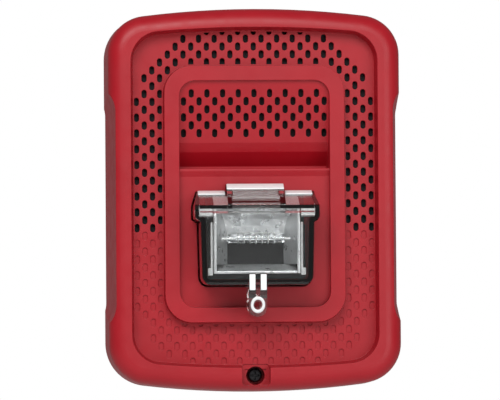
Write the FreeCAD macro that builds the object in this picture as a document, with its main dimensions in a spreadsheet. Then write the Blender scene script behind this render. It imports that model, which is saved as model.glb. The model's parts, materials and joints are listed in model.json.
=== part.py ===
"""Wall-mounted fire alarm horn strobe: a wired mounting plate and the appliance head that hooks onto it.

The frame is in millimetres: +Z is up, +X is to the viewer's right and the front faces -Y. The origin is
the centre of the mounting plate's back face, which lies on the wall at Y = 0. A "depth" is a distance in
front of the wall, so it is measured along -Y.
"""

import FreeCAD, Part

import math
import os

import Sketcher

DIMENSIONS = {
    # the whole appliance
    "body_width": 110.0,
    "body_height": 143.0,
    "body_depth": 32.0,
    "rear_gap": 1.2,
    "body_corner": 16.0,
    "body_bow_radius": 330.0,
    "body_taper": 3.0,
    "front_round": 6.0,
    "wall": 2.2,
    # side scallops
    "scallop_inset": 4.2,
    "scallop_top": 45.0,
    "scallop_bottom": -51.0,
    "scallop_corner": 13.0,
    "scallop_half_width": 14.0,
    "scallop_taper": 7.0,
    # sunken tray around the raised ring
    "tray_half_width": 45.3,
    "tray_top": 63.2,
    "tray_bottom": -61.8,
    "tray_corner": 11.0,
    "tray_bow_radius": 420.0,
    "tray_depth": 6.0,
    "tray_taper": 8.0,
    # raised ring around the horn scoop and the strobe
    "ring_half_width": 33.0,
    "ring_top": 49.0,
    "ring_bottom": -45.0,
    "ring_corner": 10.0,
    "ring_height": 5.0,
    "ring_width": 5.2,
    "ring_taper": 5.0,
    # horn scoop and strobe ledge, as depths and heights on the centre line
    "scoop_lip_depth": 29.6,
    "scoop_foot_depth": 25.0,
    "scoop_foot_height": 21.0,
    "scoop_low_depth": 18.2,
    "scoop_low_height": 12.4,
    "scoop_bend_depth": 23.2,
    "scoop_bend_height": 17.6,
    "ledge_height": 11.4,
    "ledge_depth": 28.8,
    "ledge_round": 1.0,
    "platform_depth": 28.0,
    "platform_start": 8.4,
    "scoop_wall": 2.2,
    # grille slots
    "slot_width": 1.9,
    "slot_height": 3.1,
    "slot_column_pitch": 2.88,
    "slot_row_pitch": 2.9,
    "slot_row_start": 24.5,
    "slot_margin": 0.4,
    "slot_corner_x": 13.5,
    "slot_corner_z": 33.0,
    "slot_corner_radius": 30.6,
    "slot_low": -10.5,
    "dimple_depth": 0.5,
    # captive screw pocket in the bottom rim
    "screw_height": -64.8,
    "screw_pocket_width": 10.4,
    "screw_pocket_top": -60.6,
    "screw_pocket_bottom": -68.2,
    "screw_pocket_depth": 6.4,
    "screw_well_radius": 3.4,
    # strobe lens, reflector and flash tube
    "lens_half_width": 23.2,
    "lens_top_half_width": 21.6,
    "lens_low_half_width": 20.7,
    "lens_wing_top": -2.4,
    "lens_wing_bottom": -7.4,
    "lens_corner": 3.5,
    "lens_top": 2.7,
    "lens_bottom": -32.0,
    "lens_crown_half_width": 10.5,
    "lens_crown_top": 5.2,
    "lens_front_depth": 48.3,
    "nose_front_depth": 49.0,
    "lens_rear_depth": 22.2,
    "lens_wall": 1.8,
    "lens_fit": 0.2,
    "nose_half_width": 3.3,
    "nose_start": -27.2,
    "nose_end": -43.0,
    "reflector_half_width": 15.8,
    "reflector_top": -3.6,
    "reflector_bottom": -27.4,
    "reflector_rear": 30.0,
    "reflector_front": 42.0,
    "tube_height": -14.5,
    "tube_depth": 36.0,
    "tube_radius": 1.6,
    "tube_half_length": 10.2,
    # rear housing and circuit board
    "housing_half_width": 46.5,
    "housing_top": 61.5,
    "housing_bottom": -58.5,
    "housing_rear": 11.0,
    "housing_floor": 1.5,
    "housing_rim_front": 18.5,
    "housing_wall": 1.6,
    "board_rear": 13.4,
    "board_thickness": 1.6,
    "boss_x": 39.5,
    "boss_top_z": 52.0,
    "boss_low_z": -48.0,
    "boss_radius": 3.0,
    # piezo sounder
    "piezo_height": 27.0,
    "piezo_radius": 17.5,
    "piezo_seat_radius": 19.5,
    "ceramic_radius": 12.5,
    # flash capacitor
    "capacitor_radius": 5.3,
    "capacitor_half_length": 16.0,
    "capacitor_height": -50.0,
    "capacitor_depth": 18.2,
    # mounting plate
    "plate_thickness": 2.5,
    "plate_half_width": 51.1,
    "plate_top": 67.2,
    "plate_bottom": -68.2,
    "plate_corner": 12.6,
    "gang_half_height": 41.65,
    "gang_half_width": 23.0,
    "window_half_width": 20.0,
    "window_top": 34.0,
    "window_bottom": 4.0,
    # terminals and contact pins
    "terminal_pitch": 10.0,
    "terminal_front": 10.4,
    "terminal_screw_z": -29.0,
    "pin_z": -18.5,
    "pin_radius": 0.8,
    "pin_tip": 5.6,
    # captive screw
    "screw_radius": 1.75,
    "screw_head_radius": 2.6,
    "screw_head_rear": 19.0,
    "screw_head_front": 21.2,
    "screw_slot_half": 1.9,
    "screw_tip": 4.0,
    "clip_rear": 10.4,
    # selectors on the rear housing
    "dial_x": -32.0,
    "dial_z": 2.0,
    "dial_radius": 4.0,
    "slider_x": 32.0,
    "slider_start_z": -4.0,
    "slider_travel": 12.0,
    # hinge beads
    "pivot_height": 66.5,
    "pivot_depth": 4.0,
    "bead_radius": 1.2,
    "bead_length": 12.0,
    "bead_spacing": 56.0,
}


class Size:
    """A length that carries both its value and the spreadsheet expression that gives it."""

    def __init__(self, value, text):
        self.value = value
        self.text = text

    @staticmethod
    def of(thing):
        return thing if isinstance(thing, Size) else Size(float(thing), repr(float(thing)))

    def _with(self, other, sign, value):
        return Size(value, f"({self.text} {sign} {Size.of(other).text})")

    def __add__(self, other):
        return self._with(other, "+", self.value + Size.of(other).value)

    def __sub__(self, other):
        return self._with(other, "-", self.value - Size.of(other).value)

    def __mul__(self, other):
        return self._with(other, "*", self.value * Size.of(other).value)

    def __truediv__(self, other):
        return self._with(other, "/", self.value / Size.of(other).value)

    def __radd__(self, other):
        return Size.of(other) + self

    def __rsub__(self, other):
        return Size.of(other) - self

    def __rmul__(self, other):
        return Size.of(other) * self

    def __neg__(self):
        return Size(-self.value, f"(-1 * {self.text})")


class Sheet:
    """The driving dimensions: one attribute per alias of the document's spreadsheet."""

    def __init__(self, doc):
        cells = doc.addObject("Spreadsheet::Sheet", "Dims")
        for row, (alias, value) in enumerate(DIMENSIONS.items(), start=1):
            cells.set(f"A{row}", alias)
            cells.set(f"B{row}", str(value))
            cells.setAlias(f"B{row}", alias)
            setattr(self, alias, Size(value, f"Dims.{alias}"))


DOC = FreeCAD.newDocument("HornStrobe")
D = Sheet(DOC)


# ---------------------------------------------------------------- document helpers


def bind(obj, **sizes):
    """Sets properties of a document object, by expression where a size comes from the sheet."""
    for name, size in sizes.items():
        if isinstance(size, Size):
            obj.setExpression(name, size.text)
        else:
            setattr(obj, name, size)
    return obj


def place(obj, x, depth, z, rotation=None):
    """Puts an object at x, at a depth in front of the wall, and at height z."""
    if rotation is not None:
        obj.Placement = FreeCAD.Placement(FreeCAD.Vector(), rotation)
    for axis, size in (("x", Size.of(x)), ("y", -Size.of(depth)), ("z", Size.of(z))):
        obj.setExpression(f"Placement.Base.{axis}", size.text)
    return obj


def span(low_high):
    low, high = (Size.of(s) for s in low_high)
    return low, high - low


def slab(name, x, depth, z):
    """A box between two x values, two depths and two heights."""
    (x0, length), (d0, width), (z0, height) = span(x), span(depth), span(z)
    box = bind(DOC.addObject("Part::Box", name), Length=length, Width=width, Height=height)
    return place(box, x0, d0 + width, z0)


TO_FRONT = FreeCAD.Rotation(FreeCAD.Vector(1, 0, 0), 90)
TO_RIGHT = FreeCAD.Rotation(FreeCAD.Vector(0, 1, 0), 90)


def peg(name, radius, depth, x, z):
    """A cylinder along the depth."""
    start, height = span(depth)
    round_bar = bind(DOC.addObject("Part::Cylinder", name), Radius=radius, Height=height)
    return place(round_bar, x, start, z, TO_FRONT)


def rod(name, radius, x, depth, z):
    """A cylinder along x."""
    start, height = span(x)
    round_bar = bind(DOC.addObject("Part::Cylinder", name), Radius=radius, Height=height)
    return place(round_bar, start, depth, z, TO_RIGHT)


def join(name, *parts):
    fused = DOC.addObject("Part::MultiFuse", name)
    fused.Shapes = list(parts)
    return fused


def group(name, *parts):
    """Separate solids that share one node."""
    together = DOC.addObject("Part::Compound", name)
    together.Links = list(parts)
    return together


def cut(name, base, *tools):
    remaining = DOC.addObject("Part::Cut", name)
    remaining.Base = base
    remaining.Tool = tools[0] if len(tools) == 1 else join(f"{name}_tools", *tools)
    return remaining


def common(name, one, other):
    shared = DOC.addObject("Part::Common", name)
    shared.Base, shared.Tool = one, other
    return shared


def edges_where(shape, test):
    """The names of the edges whose bounding box passes a test."""
    return [f"Edge{i}" for i, e in enumerate(shape.Edges, start=1) if test(e)]


def rounded(name, base, radius, test):
    """A Part fillet of the edges that pass a test."""
    DOC.recompute()
    picked = [i for i, e in enumerate(base.Shape.Edges, start=1) if test(e)]
    fillet = DOC.addObject("Part::Fillet", name)
    fillet.Base = base
    fillet.Edges = [(i, radius, radius) for i in picked]
    return fillet


# ---------------------------------------------------------------- sketch helpers

ROOT = (-1, 1)
START, END, CENTRE = 1, 2, 3


def new_body(name):
    return DOC.addObject("PartDesign::Body", name)


def new_sketch(body, name, plane="XZ_Plane", offset=0.0, shift=0.0):
    """A sketch on one of the body's own origin planes, moved along the plane's normal and shifted in x."""
    sketch = body.newObject("Sketcher::SketchObject", name)
    support = [o for o in body.Origin.OriginFeatures if o.Role == plane]
    sketch.AttachmentSupport = [(support[0], "")]
    sketch.MapMode = "FlatFace"
    sketch.setExpression("AttachmentOffset.Base.z", Size.of(offset).text)
    sketch.setExpression("AttachmentOffset.Base.x", Size.of(shift).text)
    return sketch


def fix(sketch, kind, *where, size):
    """A dimensional constraint bound to a size."""
    index = sketch.addConstraint(Sketcher.Constraint(kind, *where, size.value))
    sketch.setExpression(f"Constraints[{index}]", size.text)


def polygon(sketch, corners):
    """A closed outline of straight lines through the given corners."""
    corners = [(Size.of(a), Size.of(b)) for a, b in corners]
    first = sketch.GeometryCount
    count = len(corners)
    for i, (a, b) in enumerate(corners):
        c, e = corners[(i + 1) % count]
        line = Part.LineSegment(
            FreeCAD.Vector(a.value, b.value, 0), FreeCAD.Vector(c.value, e.value, 0)
        )
        sketch.addGeometry(line, False)
    for i, (a, b) in enumerate(corners):
        here, after = first + i, first + (i + 1) % count
        sketch.addConstraint(Sketcher.Constraint("Coincident", here, END, after, START))
        fix(sketch, "DistanceX", *ROOT, here, START, size=a)
        fix(sketch, "DistanceY", *ROOT, here, START, size=b)


def rounded_outline(sketch, half_width, top, bottom, corner, bow=None):
    """A rounded rectangle, centred left to right; top and bottom are arcs of radius `bow` if given."""
    w, t, b, r = (Size.of(s).value for s in (half_width, top, bottom, corner))
    vector = FreeCAD.Vector
    first = sketch.GeometryCount
    up, across = vector(0, 0, 1), w - r
    drop = 0.0
    if bow is not None:
        # height lost from the middle of the bowed edge to where it meets the corner
        run = across * bow.value / (bow.value - r)
        drop = bow.value - math.sqrt(bow.value**2 - run**2)
        tilt = math.asin(across / (bow.value - r))
        t_centre = t - bow.value + (bow.value - r) * math.cos(tilt)
        b_centre = b + bow.value - (bow.value - r) * math.cos(tilt)
    else:
        tilt, t_centre, b_centre = 0.0, t - r, b + r
    half = math.pi / 2
    corners = (
        (across, t_centre, 0.0, half - tilt),
        (-across, t_centre, half + tilt, math.pi),
        (-across, b_centre, math.pi, 3 * half - tilt),
        (across, b_centre, 3 * half + tilt, 4 * half),
    )
    arcs = []
    for cx, cz, begin, finish in corners:
        circle = Part.Circle(vector(cx, cz, 0), up, r)
        arcs.append(sketch.addGeometry(Part.ArcOfCircle(circle, begin, finish), False))
    right_top, left_top, left_low, right_low = arcs
    left = sketch.addGeometry(
        Part.LineSegment(vector(-w, t_centre, 0), vector(-w, b_centre, 0)), False
    )
    right = sketch.addGeometry(
        Part.LineSegment(vector(w, b_centre, 0), vector(w, t_centre, 0)), False
    )
    if bow is None:
        upper = sketch.addGeometry(
            Part.LineSegment(vector(across, t, 0), vector(-across, t, 0)), False
        )
        lower = sketch.addGeometry(
            Part.LineSegment(vector(-across, b, 0), vector(across, b, 0)), False
        )
    else:
        upper_circle = Part.Circle(vector(0, t - bow.value, 0), up, bow.value)
        lower_circle = Part.Circle(vector(0, b + bow.value, 0), up, bow.value)
        upper = sketch.addGeometry(
            Part.ArcOfCircle(upper_circle, half - tilt, half + tilt), False
        )
        lower = sketch.addGeometry(
            Part.ArcOfCircle(lower_circle, 3 * half - tilt, 3 * half + tilt), False
        )
    # each pair meets end to start and is tangent there
    for one, one_end, other, other_end in (
        (right, END, right_top, START),
        (right_top, END, upper, START),
        (upper, END, left_top, START),
        (left_top, END, left, START),
        (left, END, left_low, START),
        (left_low, END, lower, START),
        (lower, END, right_low, START),
        (right_low, END, right, START),
    ):
        sketch.addConstraint(Sketcher.Constraint("Tangent", one, one_end, other, other_end))
    sketch.addConstraint(Sketcher.Constraint("Vertical", left))
    sketch.addConstraint(Sketcher.Constraint("Vertical", right))
    for other in (left_top, left_low, right_low):
        sketch.addConstraint(Sketcher.Constraint("Equal", right_top, other))
    fix(sketch, "Radius", right_top, size=Size.of(corner))
    fix(sketch, "DistanceX", *ROOT, right, START, size=Size.of(half_width))
    fix(sketch, "DistanceX", *ROOT, left, START, size=-Size.of(half_width))
    if bow is None:
        sketch.addConstraint(Sketcher.Constraint("Horizontal", upper))
        sketch.addConstraint(Sketcher.Constraint("Horizontal", lower))
        fix(sketch, "DistanceY", *ROOT, upper, START, size=Size.of(top))
        fix(sketch, "DistanceY", *ROOT, lower, START, size=Size.of(bottom))
    else:
        for edge, centre in ((upper, Size.of(top) - bow), (lower, Size.of(bottom) + bow)):
            fix(sketch, "Radius", edge, size=bow)
            sketch.addConstraint(Sketcher.Constraint("PointOnObject", edge, CENTRE, -2))
            fix(sketch, "DistanceY", *ROOT, edge, CENTRE, size=centre)


def pad(body, name, sketch, length, taper=None, backwards=False, midplane=False):
    feature = body.newObject("PartDesign::Pad", name)
    feature.Profile = sketch
    feature.Reversed = backwards
    feature.Midplane = midplane
    bind(feature, Length=Size.of(length))
    if taper is not None:
        bind(feature, TaperAngle=Size.of(taper))
    return feature


def pocket(body, name, sketch, length, taper=None, forwards=False, midplane=False):
    """A pocket goes towards the wall, or forwards, away from it."""
    feature = body.newObject("PartDesign::Pocket", name)
    feature.Profile = sketch
    feature.Reversed = forwards
    feature.Midplane = midplane
    bind(feature, Length=Size.of(length))
    if taper is not None:
        bind(feature, TaperAngle=Size.of(taper))
    return feature


def body_fillet(body, name, base, radius, test):
    """A PartDesign fillet of the edges of the last feature that pass a test."""
    DOC.recompute()
    feature = body.newObject("PartDesign::Fillet", name)
    feature.Base = (base, edges_where(base.Shape, test))
    bind(feature, Radius=Size.of(radius))
    return feature


def lies_at(edge, depth, tolerance=0.02):
    """Whether the whole edge lies in the plane at a depth."""
    box = edge.BoundBox
    return abs(-box.YMin - depth) < tolerance and abs(-box.YMax - depth) < tolerance


# ---------------------------------------------------------------- front cover


def recess_cutter():
    """The space in front of the horn scoop and the strobe platform, bounded by the raised ring."""
    half = D.ring_half_width - D.ring_width
    top, bottom = D.ring_top - D.ring_width, D.ring_bottom + D.ring_width
    ahead = D.body_depth + 4
    profile = new_body("recess_profile")
    side = new_sketch(profile, "recess_side", plane="YZ_Plane")
    polygon(
        side,
        [
            (-ahead, top),
            (-D.scoop_lip_depth, top),
            (-D.scoop_foot_depth, D.scoop_foot_height),
            (-D.scoop_bend_depth, D.scoop_bend_height),
            (-D.scoop_low_depth, D.scoop_low_height),
            (-D.scoop_low_depth, D.ledge_height + 0.2),
            (-D.ledge_depth, D.ledge_height),
            (-D.ledge_depth, D.ledge_height - D.ledge_round),
            (-D.platform_depth, D.platform_start),
            (-D.platform_depth, bottom),
            (-ahead, bottom),
        ],
    )
    swept = pad(profile, "recess_sweep", side, half * 2 + 8, midplane=True)
    body_fillet(
        profile,
        "recess_ledge_round",
        swept,
        0.6,
        lambda e: e.BoundBox.XLength > 10
        and abs(e.BoundBox.YMin + D.ledge_depth.value) < 0.1,
    )
    plan = new_body("recess_plan")
    front = new_sketch(plan, "recess_front", offset=ahead - 1)
    rounded_outline(front, half, top, bottom, D.ring_corner - 4)
    pad(plan, "recess_prism", front, ahead - 15, taper=-2.0, backwards=True)
    return common("recess_cutter", profile, plan)


def slot(x, z, low, high):
    """One upright round-ended slot as a solid between two depths."""
    half, rise = D.slot_width.value / 2, (D.slot_height.value - D.slot_width.value) / 2
    vector = FreeCAD.Vector
    left_low, left_top = vector(x - half, -low, z - rise), vector(x - half, -low, z + rise)
    right_low, right_top = vector(x + half, -low, z - rise), vector(x + half, -low, z + rise)
    outline = Part.Wire(
        [
            Part.LineSegment(left_low, left_top).toShape(),
            Part.Arc(left_top, vector(x, -low, z + rise + half), right_top).toShape(),
            Part.LineSegment(right_top, right_low).toShape(),
            Part.Arc(right_low, vector(x, -low, z - rise - half), left_low).toShape(),
        ]
    )
    return Part.Face(outline).extrude(vector(0, low - high, 0))


def slot_places():
    """The centres of the staggered slots that cover the whole front."""
    columns = int(D.tray_half_width.value / D.slot_column_pitch.value)
    rows = range(-30, 15)
    for column in range(-columns, columns + 1):
        for row in rows:
            if (column + row) % 2:
                yield (
                    column * D.slot_column_pitch.value,
                    D.slot_row_start.value + row * D.slot_row_pitch.value,
                )


def in_slot_corner(x, z):
    """Whether a slot would lie in a corner of the tray, which stays plain."""
    across = abs(x) - D.slot_corner_x.value
    up = abs(z) - D.slot_corner_z.value
    return across > 0 and up > 0 and math.hypot(across, up) > D.slot_corner_radius.value


def tray_slots(name, low, high, wanted):
    """The slots of the tray floor between two depths, clipped to the floor."""
    margin, lean = D.slot_margin, D.tray_depth * math.tan(math.radians(D.tray_taper.value))
    floor = new_body(f"{name}_floor")
    plan = new_sketch(floor, f"{name}_plan", offset=low)
    rounded_outline(
        plan,
        D.tray_half_width - lean - margin,
        D.tray_top - lean - margin,
        D.tray_bottom + lean + margin,
        D.tray_corner - lean - margin,
        D.tray_bow_radius,
    )
    rounded_outline(
        plan,
        D.ring_half_width + margin * 2,
        D.ring_top + margin * 2,
        D.ring_bottom - margin * 2,
        D.ring_corner + margin * 2,
    )
    pad(floor, f"{name}_prism", plan, high - low)
    slots = DOC.addObject("Part::Feature", f"{name}_slots")
    slots.Shape = Part.makeCompound(
        [
            slot(x, z, low.value - 1, high.value + 1)
            for x, z in slot_places()
            if wanted(x, z) and not in_slot_corner(x, z)
        ]
    )
    return common(name, slots, floor)


def scoop_slots():
    """The slots of the horn scoop's sloping floor."""
    half = D.ring_half_width - D.ring_width - D.slot_width * 0.75
    slots = DOC.addObject("Part::Feature", "scoop_slots")
    slots.Shape = Part.makeCompound(
        [
            slot(x, z, 14, D.body_depth.value)
            for x, z in slot_places()
            if abs(x) < half.value and 23.0 < z < 40.0
        ]
    )
    return slots


def hinge_beads():
    """The two round beads under the top edge that hook into the mounting plate, with their webs."""
    pieces = []
    for side, sign in (("left", -1), ("right", 1)):
        middle = D.bead_spacing * (sign * 0.5)
        ends = (middle - D.bead_length / 2, middle + D.bead_length / 2)
        pieces.append(rod(f"bead_{side}", D.bead_radius, ends, D.pivot_depth, D.pivot_height))
        thickness = (D.pivot_depth - 0.8, D.pivot_depth + 0.8)
        rise = (D.pivot_height, D.pivot_height + 2.6)
        pieces.append(slab(f"bead_web_{side}", ends, thickness, rise))
    return pieces


def cover_shell():
    body = new_body("cover_body")
    depth = D.body_depth
    half_height = D.body_height / 2

    outline = new_sketch(body, "cover_outline", offset=D.rear_gap)
    rounded_outline(
        outline, D.body_width / 2, half_height, -half_height, D.body_corner, D.body_bow_radius
    )
    shell = pad(body, "cover_shell", outline, depth - D.rear_gap, taper=-D.body_taper)
    rounded_shell = body_fillet(
        body, "cover_front_round", shell, D.front_round, lambda e: lies_at(e, depth.value)
    )
    for side, sign in (("left", -1), ("right", 1)):
        shift = (D.body_width / 2 - D.scallop_inset + D.scallop_half_width) * sign
        plan = new_sketch(body, f"scallop_{side}_plan", offset=depth, shift=shift)
        rounded_outline(
            plan,
            D.scallop_half_width,
            D.scallop_top,
            D.scallop_bottom,
            D.scallop_corner,
        )
        pocket(body, f"scallop_{side}", plan, depth, taper=-D.scallop_taper)

    cavity = new_sketch(body, "cavity_outline", offset=D.rear_gap)
    lean = (depth - D.rear_gap) * math.tan(math.radians(D.scallop_taper.value))
    rounded_outline(
        cavity,
        D.body_width / 2 - D.scallop_inset + lean - D.wall,
        half_height - D.wall,
        -half_height + D.wall,
        D.body_corner - D.wall,
        D.body_bow_radius,
    )
    tray_floor = depth - D.tray_depth
    cavity_depth = tray_floor - D.wall - D.rear_gap
    pocket(body, "cavity", cavity, cavity_depth, taper=-D.scallop_taper, forwards=True)

    tray = new_sketch(body, "tray_outline", offset=depth)
    rounded_outline(
        tray,
        D.tray_half_width,
        D.tray_top,
        D.tray_bottom,
        D.tray_corner,
        D.tray_bow_radius,
    )
    pocket(body, "tray", tray, D.tray_depth, taper=-D.tray_taper)

    ring = new_sketch(body, "ring_outline", offset=tray_floor - D.wall)
    lean = (D.ring_height + D.wall) * math.tan(math.radians(D.ring_taper.value))
    rounded_outline(
        ring,
        D.ring_half_width + lean,
        D.ring_top + lean,
        D.ring_bottom - lean,
        D.ring_corner + lean,
    )
    pad(body, "ring", ring, D.ring_height + D.wall, taper=-D.ring_taper)

    scoop = new_sketch(body, "scoop_outline", offset=D.scoop_low_depth - D.scoop_wall)
    rounded_outline(
        scoop,
        D.ring_half_width - D.ring_width + D.scoop_wall,
        D.ring_top - D.ring_width + D.scoop_wall,
        D.platform_start,
        D.ring_corner - 5,
    )
    pad(body, "scoop_box", scoop, tray_floor - D.scoop_low_depth + D.scoop_wall)
    DOC.recompute()
    return cut("cover_recessed", body, recess_cutter())


def slotted(name, x, z, radius, reach, depth, upright):
    """A round-ended slot through a range of depths; reach is half the distance between its end centres."""
    x, z = Size.of(x), Size.of(z)
    across, up = (0, reach) if upright else (reach, 0)
    wide, high = (radius, reach) if upright else (reach, radius)
    return join(
        name,
        peg(f"{name}_low", radius, depth, x - across, z - up),
        peg(f"{name}_high", radius, depth, x + across, z + up),
        slab(f"{name}_middle", (x - wide, x + wide), depth, (z - high, z + high)),
    )


def washer(name, outer, inner, depth, x, z):
    """A flat ring."""
    low, high = (Size.of(s) for s in depth)
    disc = peg(f"{name}_disc", outer, (low, high), x, z)
    hole = peg(f"{name}_hole", inner, (low - 1, high + 1), x, z)
    return cut(name, disc, hole)


def prism(name, corners, half_width):
    """A solid with a side outline of (depth, height) corners, reaching a half width each way."""
    body = new_body(f"{name}_body")
    side = new_sketch(body, f"{name}_side", plane="YZ_Plane")
    polygon(side, [(-Size.of(depth), height) for depth, height in corners])
    pad(body, name, side, Size.of(half_width) * 2, midplane=True)
    return body


def cushion(name, half_width, top, bottom, corner, depth, taper=None, bow=None):
    """A solid with a rounded front outline between two depths, narrowing towards the front."""
    low, high = (Size.of(s) for s in depth)
    body = new_body(f"{name}_body")
    plan = new_sketch(body, f"{name}_plan", offset=low)
    rounded_outline(plan, half_width, top, bottom, corner, bow)
    pad(body, name, plan, high - low, taper)
    return body


def horn_chamber():
    """The hollow behind the scoop floor, where the sounder speaks into the slots."""
    rear = D.scoop_wall * 1.05
    return prism(
        "horn_chamber",
        [
            (D.scoop_low_depth - 4, D.ring_top - D.ring_width),
            (D.scoop_lip_depth - rear, D.ring_top - D.ring_width),
            (D.scoop_foot_depth - rear, D.scoop_foot_height),
            (D.scoop_low_depth - rear, D.scoop_low_height + 1.6),
            (D.scoop_low_depth - 4, D.scoop_low_height + 1.6),
        ],
        D.ring_half_width - D.ring_width,
    )


def lens_plan(name, grow, depth, taper=None):
    """The lens's front outline, grown or shrunk, as a solid: winged near the top, rounded at the bottom."""
    low, high = (Size.of(s) for s in depth)
    grow = Size.of(grow)
    body = new_body(f"{name}_body")
    plan = new_sketch(body, f"{name}_plan", offset=low)
    right = [
        (D.lens_top_half_width + grow * 0.6, D.lens_top + grow),
        (D.lens_half_width + grow, D.lens_wing_top + grow * 0.5),
        (D.lens_half_width + grow, D.lens_wing_bottom - grow * 0.6),
        (D.lens_low_half_width + 0.5 + grow, D.lens_wing_bottom - 1.2 - grow * 0.6),
        (D.lens_low_half_width + grow, D.lens_bottom - grow),
    ]
    polygon(plan, right + [(-x, z) for x, z in reversed(right)])
    prism_feature = pad(body, f"{name}_prism", plan, high - low, taper)
    foot = (D.lens_bottom - grow).value

    def is_lower_corner(edge):
        box = edge.BoundBox
        return box.YLength > 3 and box.ZMin < foot + 1.5 and box.XLength < 2

    body_fillet(body, f"{name}_round", prism_feature, D.lens_corner + grow, is_lower_corner)
    return body


def lens_window():
    """The opening in the platform that the strobe lens comes through."""
    depth = (D.tray_depth, D.body_depth + 1)
    fit = D.lens_fit
    main = lens_plan("lens_window_main", fit, depth)
    crown = D.lens_crown_half_width + fit
    upper = slab(
        "lens_window_crown", (-crown, crown), depth, (D.lens_bottom + 4, D.lens_crown_top + fit)
    )
    return join("lens_window", main, upper)


def screw_pocket():
    """The square pocket in the lower rim, with the round well of the captive screw."""
    half = D.screw_pocket_width / 2
    floor = D.body_depth - D.screw_pocket_depth
    middle = (D.screw_pocket_top + D.screw_pocket_bottom) / 2
    opening = cushion(
        "screw_pocket_square",
        half,
        D.screw_pocket_top,
        D.screw_pocket_bottom,
        1.2,
        (floor, D.body_depth + 1),
    )
    well = peg(
        "screw_well",
        D.screw_well_radius,
        (D.screw_head_rear - 0.2, D.body_depth),
        0,
        D.screw_height,
    )
    bore = peg("screw_bore", D.screw_radius + 0.3, (0, D.body_depth), 0, D.screw_height)
    relief = slab(
        "screw_pocket_relief",
        (-half + 1.2, half - 1.2),
        (floor - 0.6, floor + 1),
        (middle - 2, middle + 2),
    )
    return join("screw_pocket", opening, well, bore, relief)


def boss_places():
    for side, sign in (("left", -1), ("right", 1)):
        for level, z in (("top", D.boss_top_z), ("low", D.boss_low_z)):
            yield f"{side}_{level}", D.boss_x * sign, z


def through_slot(x, z):
    """Slots go through the tray floor beside and above the ring, down to a limit at the sides."""
    return z > D.slot_low.value


def cover_with_bosses(recessed):
    tray_floor = D.body_depth - D.tray_depth
    boss_rear = D.board_rear - 0.8
    bosses = [
        peg(f"boss_{name}", D.boss_radius, (boss_rear, tray_floor), x, z)
        for name, x, z in boss_places()
    ]
    screw_boss = peg(
        "screw_boss", D.screw_well_radius + 0.8, (15.4, tray_floor + 2), 0, D.screw_height
    )
    return join("cover_solid", recessed, *hinge_beads(), *bosses, screw_boss)


def front_cover():
    tray_floor = D.body_depth - D.tray_depth
    solid = cover_with_bosses(cover_shell())
    pilots = [
        peg(f"pilot_{name}", 1.2, (D.housing_rear, 21), x, z) for name, x, z in boss_places()
    ]
    opened = cut("cover_opened", solid, horn_chamber(), lens_window(), screw_pocket(), *pilots)
    slots = tray_slots("tray_openings", tray_floor - D.wall, tray_floor, through_slot)
    dimples = tray_slots(
        "tray_dimples",
        tray_floor - D.dimple_depth,
        tray_floor,
        lambda x, z: not through_slot(x, z),
    )
    return cut("front_cover", opened, group("cover_slots", slots, dimples, scoop_slots()))


# ---------------------------------------------------------------- strobe


def strobe_lens():
    rear, front = D.lens_rear_depth, D.lens_front_depth
    wall, top, bottom = D.lens_wall, D.lens_top, D.lens_bottom
    side = prism(
        "lens_side",
        [
            (rear, top),
            (28.6, top),
            (front - 1.7, -2.5),
            (front, -4.7),
            (front, bottom + 1.6),
            (front - 1.4, bottom),
            (rear, bottom),
        ],
        D.lens_half_width + 2,
    )
    block = common("lens_block", side, lens_plan("lens_outer", 0, (rear, front + 1), taper=-1.5))
    crown = prism(
        "lens_crown",
        [
            (rear, D.lens_crown_top),
            (30.5, D.lens_crown_top),
            (front - 2.2, -2.0),
            (front - 2.2, -6),
            (rear, -6),
        ],
        D.lens_crown_half_width,
    )
    hollow = common(
        "lens_hollow",
        prism(
            "lens_hollow_side",
            [
                (rear - 2, top - wall),
                (28.4, top - wall),
                (front - 2.6, -4.3),
                (front - wall, -5.5),
                (front - wall, bottom + wall),
                (rear - 2, bottom + wall),
            ],
            D.lens_half_width,
        ),
        lens_plan("lens_inner", -wall + 0.05, (rear - 2, front + 1), taper=-1.5),
    )
    crown_hollow = prism(
        "lens_crown_hollow",
        [
            (rear - 1, D.lens_crown_top - wall),
            (29.8, D.lens_crown_top - wall),
            (38, 0),
            (38, -6),
            (rear - 1, -6),
        ],
        D.lens_crown_half_width - wall,
    )
    flange_edge = D.lens_half_width + 1.8
    flange = slab(
        "lens_flange",
        (-flange_edge, flange_edge),
        (rear, rear + 1.4),
        (bottom - 2, D.lens_crown_top + 1.4),
    )
    shell = cut("lens_shell", join("lens_solid", block, crown, flange), hollow, crown_hollow)
    return join("strobe_lens", shell, lens_nose())


def lens_nose():
    """The fin below the lens that throws light down the wall, with its open channel and eye."""
    half, front, end, start = D.nose_half_width, D.nose_front_depth, D.nose_end, D.nose_start
    side = prism(
        "nose_side",
        [
            (D.lens_front_depth - 1.2, start),
            (front - 0.3, start),
            (front, start - 0.4),
            (front, start - 6),
            (front - 4, end),
            (35, end),
            (33, D.lens_bottom - 1),
            (33, D.lens_bottom + 0.6),
            (D.lens_front_depth - 1.2, D.lens_bottom + 0.6),
        ],
        half + 1,
    )
    plan = join(
        "nose_plan",
        slab("nose_bar", (-half, half), (30, 51), (end + half, start + 1)),
        peg("nose_tip", half, (30, 51), 0, end + half),
    )
    gap = 0.8
    depth = (front - 3.5, front + 2)
    channel = slab("nose_channel", (-gap, gap), depth, (-35.6, start + 1))
    channel_end = peg("nose_channel_end", Size.of(gap), depth, 0, -35.4)
    eye = peg("nose_eye", 1.2, (30, front + 2), 0, -38.6)
    return cut("lens_nose", common("nose_solid", side, plan), channel, channel_end, eye)


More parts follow.
